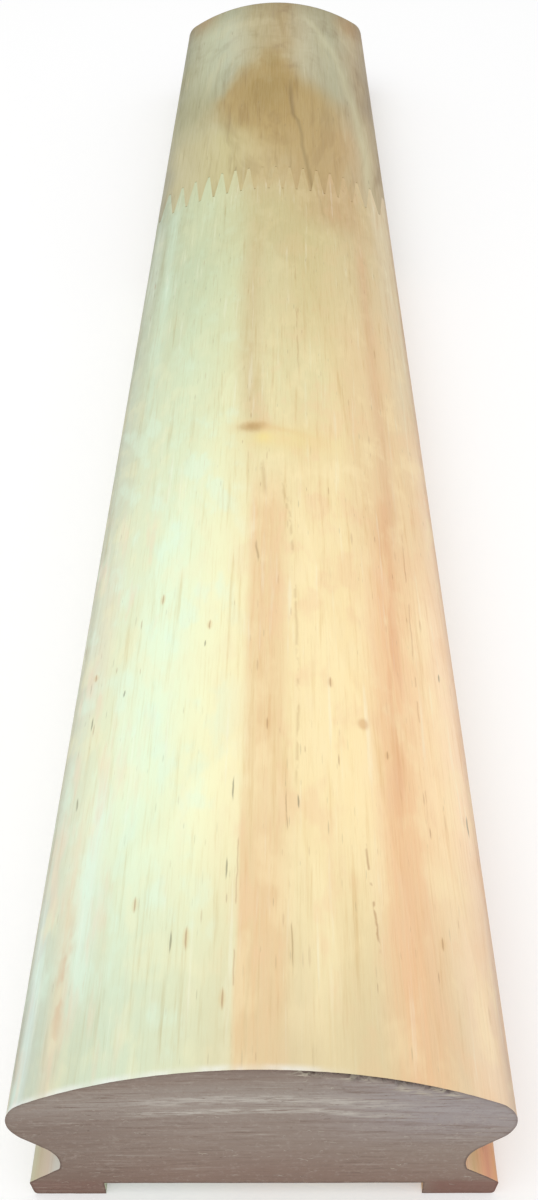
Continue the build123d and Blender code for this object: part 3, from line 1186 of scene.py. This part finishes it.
def makeBrownFinish(look):
    timber = look["timber"]
    noises = look["noises"]
    material, tree, shader = newFinish("planedBrownPine")
    place = objectPlace(tree)
    flat = unrolledPlace(tree)
    x, y, z = splitXyz(place)
    onCrown = remap(z, 15.0, 20.0)
    radius = ringField(place, timber)
    late = lateWood(radius, timber)
    figure = noise(joinXyz(radius, x, y), *noises["figure"])   # bands that follow the rings
    streaks = noise(flat, *noises["streaks"])
    fibres = noise(flat, *noises["fibres"])

    blur = x + swing(noise(place, *noises["across"]), 3.0)
    lower = y + swing(noise(place, *noises["along"]), 18.0)
    upperTone, lowerTone = colourRamp(blur, look["upper"]), colourRamp(blur, look["lower"])
    colour = blendColour(remap(lower, *look["lowerFrom"]), upperTone, lowerTone)
    colour = stainPatches(colour, x, y, look["olivePatches"], onCrown)

    # golden wood round the knot, below an arched border and right of a slanting one
    sway = swing(noise(place, *noises["border"]), 2.6)
    below = followPath(x + sway, look["border"]) - y
    inside = x - followPath(y, look["goldenLeft"])
    golden = remap(below + sway * 1.6, -13.0, 15.0) * remap(inside + sway, -8.0, 8.0)
    golden = golden * remap(x, 25.0, 12.0) * onCrown
    colour = stain(colour, golden * remap(y, 262.0, 330.0, 0.3, 1.0), look["golden"])
    wide, narrow = [bell(x, y, at, size) for at, size in look["hearts"]]
    heart = calc("MAXIMUM", wide, narrow) * calc("MULTIPLY_ADD", golden, 0.5, 0.5)
    colour = stain(colour, heart * onCrown, look["goldenHeart"])
    colour = stain(colour, bell(below, x, (9.0, -4.0), (7.0, 16.0)) * golden, look["goldenRim"])

    colour = stainSides(colour, x, z, look)

    # grain
    broken = late * remap(noise(place, *noises["rings"]), 0.38, 0.62, 0.25, 1.0)
    colour = stain(colour, broken, look["rings"], "MULTIPLY")
    outside = calc("MULTIPLY_ADD", golden, -0.75, 1.0)
    colour = stain(colour, remap(figure, 0.5, 0.68), look["darkFigure"], "MULTIPLY")
    colour = stain(colour, remap(figure, 0.46, 0.32) * outside, look["paleFigure"])
    colour = stain(colour, remap(streaks, 0.45, 0.25) * outside, look["paleStreaks"])
    colour = stain(colour, remap(streaks, 0.52, 0.76), look["darkStreaks"], "MULTIPLY")
    colour = stain(colour, remap(fibres, 0.5, 0.8), look["fibres"], "MULTIPLY")

    # a dark vein runs from the knot to the joint, and a pale streak sweeps along the right side
    grainX = x + swing(noise(place, *noises["bands"]), 0.9)
    colour = stainBands(colour, grainX, y, place, look["bands"], onCrown)
    colour = stainPatches(colour, x, y, look["cornerPatches"], onCrown)

    flecks = fleckMask(flat, *look["flecks"])
    colour = stain(colour, flecks, look["fleckTone"])
    for knot in timber["knots"]:
        colour = stain(colour, knotMask(place, knot, soft=0.9), look["knot"])
    # painted shade towards the far end, darkest along its arris
    colour = stain(colour, remap(y, railLength - 26.0, railLength), look["farEndShade"], "MULTIPLY")
    colour = stain(colour, remap(y, railLength - 1.2, railLength - 0.3), look["endShade"])
    setPlaned(shader, colour, fibres, flecks, late, 0.15)
    return material


sawnFinish = {
    "noises": {                   # size along x, y and z in mm, seed, detail and roughness
        "level": ((22, 0, 40), 61),
        "scores": ((7, 0, 0.42), 63, 4.0, 0.75),
        "patches": ((9, 0, 4), 62),
        "shreds": ((3.6, 0, 0.32), 69, 3.0, 0.6),
        "grit": ((0.5, 0, 0.4), 65, 4.0, 0.7),
        "specks": ((0.7, 0, 0.5), 66, 3.0),
        "curls": ((1.5, 0, 2.2), 67),
        "hairs": ((4, 0, 2.5), 68),
        "slivers": ((2.4, 0, 0.3), 72),
        "loose": ((1.4, 1.4, 1.4), 64),
    },
    "levels": [                   # z up the sawn face and the colour of the end grain there
        (0.0, "#8f796d"),
        (6.0, "#947e72"),
        (13.0, "#9b8b80"),
        (20.5, "#9f9187"),
        (24.6, "#aca198"),
        (27.0, "#a3978d"),
        (29.5, "#9b8c81"),
        (32.0, "#907f75"),
    ],
    "lightBands": ((24.5, 0.9), (21.8, 0.6)),    # z and half height
    "lightBand": ("#c8c1b7", 0.85),
    "rings": "#8a7365",
    "scoreDark": ("#7f6c61", 0.75),
    "scoreLight": ("#beb4a9", 0.44),
    "mauve": ("#aaa3a6", 0.62),
    "umber": ("#79665b", 0.5),
    "leftFoot": ("#896258", 0.3),
    "rightFoot": ("#896258", 0.6),
    # painted shade along the outline of the sawn face
    "outline": "#5c4a41",
    "grit": ("#8a7365", 0.3),
    "speck": ("#bdb2a7", 0.26),
    "hair": ("#cfc5ba", 0.16),
    # painted shade under the crown's arris
    "arrisShade": ("#75645a", 0.62),
    # painted shade in the torn pits
    "pit": ("#54443a", 0.75),
    "lip": ("#cfc6b2", 0.75),
    "looseFibres": [(0.35, "#7f6c61"), (0.55, "#beb4a9"), (0.75, "#cfc6b2")],
}


def makeSawnFinish(name, look, timber, isNear):
    noises = look["noises"]
    material, tree, shader = newFinish(name)
    place = objectPlace(tree)
    x, y, z = splitXyz(place)
    late = lateWood(ringField(place, timber), timber)
    # the colours lie in level bands that droop to the sides like the crown
    aside = x - 1.0
    level = z + swing(noise(place, *noises["level"]), 1.6)
    level = calc("MULTIPLY_ADD", aside * aside, 0.0028, level)
    colour = colourRamp(level, look["levels"])
    colour = stain(colour, remap(x, 2.0, 24.0) * remap(z, 11.0, 22.0), look["mauve"])
    colour = stain(colour, remap(x, -6.0, -31.0) * remap(z, 26.0, 18.0, 0.1, 1.0), look["umber"])
    colour = stain(colour, late, (look["rings"], timber["endRingShare"]))

    # level scores of the saw, in patches
    scores = noise(place, *noises["scores"])
    patches = noise(place, *noises["patches"])
    dark = remap(scores, 0.5, 0.7) * remap(patches, 0.35, 0.6, 0.45, 1.0)
    light = remap(scores, 0.47, 0.3) * remap(patches, 0.4, 0.62, 0.1, 1.0)
    colour = stain(colour, dark, look["scoreDark"])
    colour = stain(colour, light, look["scoreLight"])
    shreds = remap(noise(place, *noises["shreds"]), 0.4, 0.6)
    middle = remap(x, -19.0, -11.0) * remap(x, 22.0, 12.0)
    for at, half in look["lightBands"]:
        strip = remap(calc("ABSOLUTE", level - at), half * 1.7, half * 0.4) * shreds
        colour = stain(colour, strip * middle, look["lightBand"])

    # torn fibres: grit all over, and small pale curls in places
    grit = noise(place, *noises["grit"])
    colour = stain(colour, remap(grit, 0.5, 0.72), look["grit"])
    specks = noise(place, *noises["specks"])
    colour = stain(colour, remap(specks, 0.55, 0.74), look["speck"])
    curl = calc("ABSOLUTE", noise(place, *noises["curls"]) - 0.5)
    hairs = remap(curl, 0.03, 0.0) * remap(noise(place, *noises["hairs"]), 0.54, 0.68)
    colour = stain(colour, hairs, look["hair"])

    # painted shade just under the crown and along the outline, and darker in the feet
    pit, under = tornMask(x, z)
    torn = remap(x, 2.0, 7.0) * remap(x, 26.0, 20.0)
    shade = remap(under, 1.5, 0.4) * remap(torn, 0.0, 1.0, 0.25, 1.0)
    colour = stain(colour, shade, look["arrisShade"])
    edgeGap = Wire(addNode(tree, "ShaderNodeAttribute", {}, attribute_name="edgeGap"), "Fac")
    outline = (look["outline"], remap(z, 8.0, 16.0, 0.6, 0.25))
    colour = stain(colour, remap(edgeGap, 0.5, 0.05), outline)
    low = remap(z, 4.4, 2.8)
    colour = stain(colour, low * remap(x, 21.0, 24.0), look["rightFoot"])
    colour = stain(colour, low * remap(x, -21.0, -22.0), look["leftFoot"])
    if isNear:
        # the torn pits are darkened with painted shade
        colour = stain(colour, pit, look["pit"])
        slivers = remap(noise(place, *noises["slivers"]), 0.42, 0.56)
        flakes = [(at, size, look["lip"]) for at, size in tornArris["flakes"]]
        colour = stainPatches(colour, x, under, flakes, slivers)
    setSurface(shader, colour, 0.15, 0.85)
    setBump(shader, scores + grit, 0.3)
    return material


def makeFibreFinish(look):
    # torn fibres that stand up from the sawn face
    material, tree, shader = newFinish("raisedFibres")
    tone = noise(objectPlace(tree), *look["noises"]["loose"])
    setSurface(shader, colourRamp(tone, look["looseFibres"]), 0.15, 0.8)
    return material


planedPale = makePaleFinish(paleFinish)
planedBrown = makeBrownFinish(brownFinish)
sawnPale = makeSawnFinish("sawnPalePine", sawnFinish, paleTimber, True)
sawnBrown = makeSawnFinish("sawnBrownPine", sawnFinish, brownTimber, False)
raisedFibres = makeFibreFinish(sawnFinish)
print("finishes made")


def finishTimber(timber, look, planed, sawn, isNear):
    modifier = timber.modifiers.new("relief", "NODES")
    modifier.node_group = newReliefTree(look)
    setInputs(modifier, {
        **timberRelief,
        "Tear Depth": timberRelief["Tear Depth"] if isNear else 0.0,
        "Ring Depth": look["ringDepth"],
        "Knot Dish": 1.0,
        "Sawn End": 0.0 if isNear else railLength,
        "Inward": 1.0 if isNear else -1.0,
        "Planed Finish": planed,
        "Sawn Finish": sawn,
        "Fibre Finish": raisedFibres,
    })
    makePlain(timber)
    return timber


nearTimber = finishTimber(buildTimber("nearTimber", True), paleTimber, planedPale, sawnPale, True)
farTimber = finishTimber(buildTimber("farTimber", False), brownTimber, planedBrown, sawnBrown, False)
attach(nearTimber, "root")
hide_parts("near_length")
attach(farTimber, "root")
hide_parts("far_length")
for timber in (nearTimber, farTimber):
    timber.data.calc_loop_triangles()
    print(timber.name, "triangles:", len(timber.data.loop_triangles))


# floor, light and camera

studio = {
    "floorReach": 6.0,
    "floor": "#fdfdfd",
    "whiteFrom": (0.35, 1.3),     # metres from the rail's middle between which the floor turns white
    "nearWhite": 0.3,
    "skyStrength": 0.72,
    "keyStrength": 11.0,
    "keySize": 1.6,
    "keyPlace": (-0.25, -0.35, 1.5),
}


def seenRays(tree):
    rays = tree.nodes.new("ShaderNodeLightPath")
    seen = calc("ADD", Wire(rays, "Is Camera Ray"), Wire(rays, "Is Glossy Ray"), clamp=True)
    return calc("ADD", seen, Wire(rays, "Is Transmission Ray"), clamp=True)


def makeFloor(look):
    mesh = bpy.data.meshes.new("studioFloor")
    reach = look["floorReach"]
    corners = [(-reach, -reach, 0), (reach, -reach, 0), (reach, reach, 0), (-reach, reach, 0)]
    mesh.from_pydata(corners, [], [(0, 1, 2, 3)])
    material, tree, shader = newFinish("paleFloor")
    setSurface(shader, hexColour(look["floor"]), 0.0, 1.0)
    # as the camera sees it, it turns white away from the rail
    output = shader.outputs[0].links[0].to_node
    away = vectorCalc("LENGTH", Wire(tree.nodes.new("ShaderNodeTexCoord"), "Object"))
    share = remap(away, *look["whiteFrom"], look["nearWhite"], 1.0) * seenRays(tree)
    white = Wire(tree.nodes.new("ShaderNodeEmission"))
    plug(output.inputs["Surface"], Wire(joinNode("ShaderNodeMixShader", share, Wire(shader), white)))
    mesh.materials.append(material)
    addObject("studioFloor", mesh)


def makeSky(look):
    world = bpy.data.worlds.new("studioSky")
    bpy.context.scene.world = world
    world.use_nodes = True
    tree = world.node_tree
    tree.nodes.clear()
    plain = (1, 1, 1, 1)
    light = Wire(addNode(tree, "ShaderNodeBackground", {"Color": plain, "Strength": look["skyStrength"]}))
    white = Wire(addNode(tree, "ShaderNodeBackground", {"Color": plain}))
    mix = Wire(joinNode("ShaderNodeMixShader", seenRays(tree), light, white))
    addNode(tree, "ShaderNodeOutputWorld", {"Surface": mix})


def makeKeyLight(look):
    lamp = bpy.data.lights.new("softKey", "AREA")
    lamp.shape = "SQUARE"
    lamp.size = look["keySize"]
    lamp.energy = look["keyStrength"]
    key = addObject("softKey", lamp)
    key.location = look["keyPlace"]
    key.rotation_euler = (-key.location).to_track_quat("-Z", "Y").to_euler()


# the camera stands over the near end and looks down along the rail
view = {
    "place": (4.69, -82.26, 176.5),   # mm: x, y from the near end and z
    "heading": 1.371,                 # degrees to the left of the rail's line
    "tilt": 40.43,                    # degrees below the horizon
    "roll": -1.423,
    "lens": 39.0,
    "sensor": 36.0,
    "clipFrom": 5.0,
}


def makeCamera(look):
    data = bpy.data.cameras.new("railCamera")
    data.lens = look["lens"]
    data.sensor_width = look["sensor"]
    data.clip_start = look["clipFrom"] * mm
    camera = addObject("railCamera", data)
    x, y, z = look["place"]
    turn = Matrix.Rotation(math.radians(look["heading"]), 4, "Z")
    turn = turn @ Matrix.Rotation(math.radians(90 - look["tilt"]), 4, "X")
    turn = turn @ Matrix.Rotation(math.radians(look["roll"]), 4, "Z")
    camera.matrix_world = Matrix.Translation(Vector((x, y + nearEnd, z)) * mm) @ turn
    bpy.context.scene.camera = camera


makeFloor(studio)
makeSky(studio)
makeKeyLight(studio)
makeCamera(view)
bpy.context.scene.view_settings.view_transform = "Standard"
print("studio set")
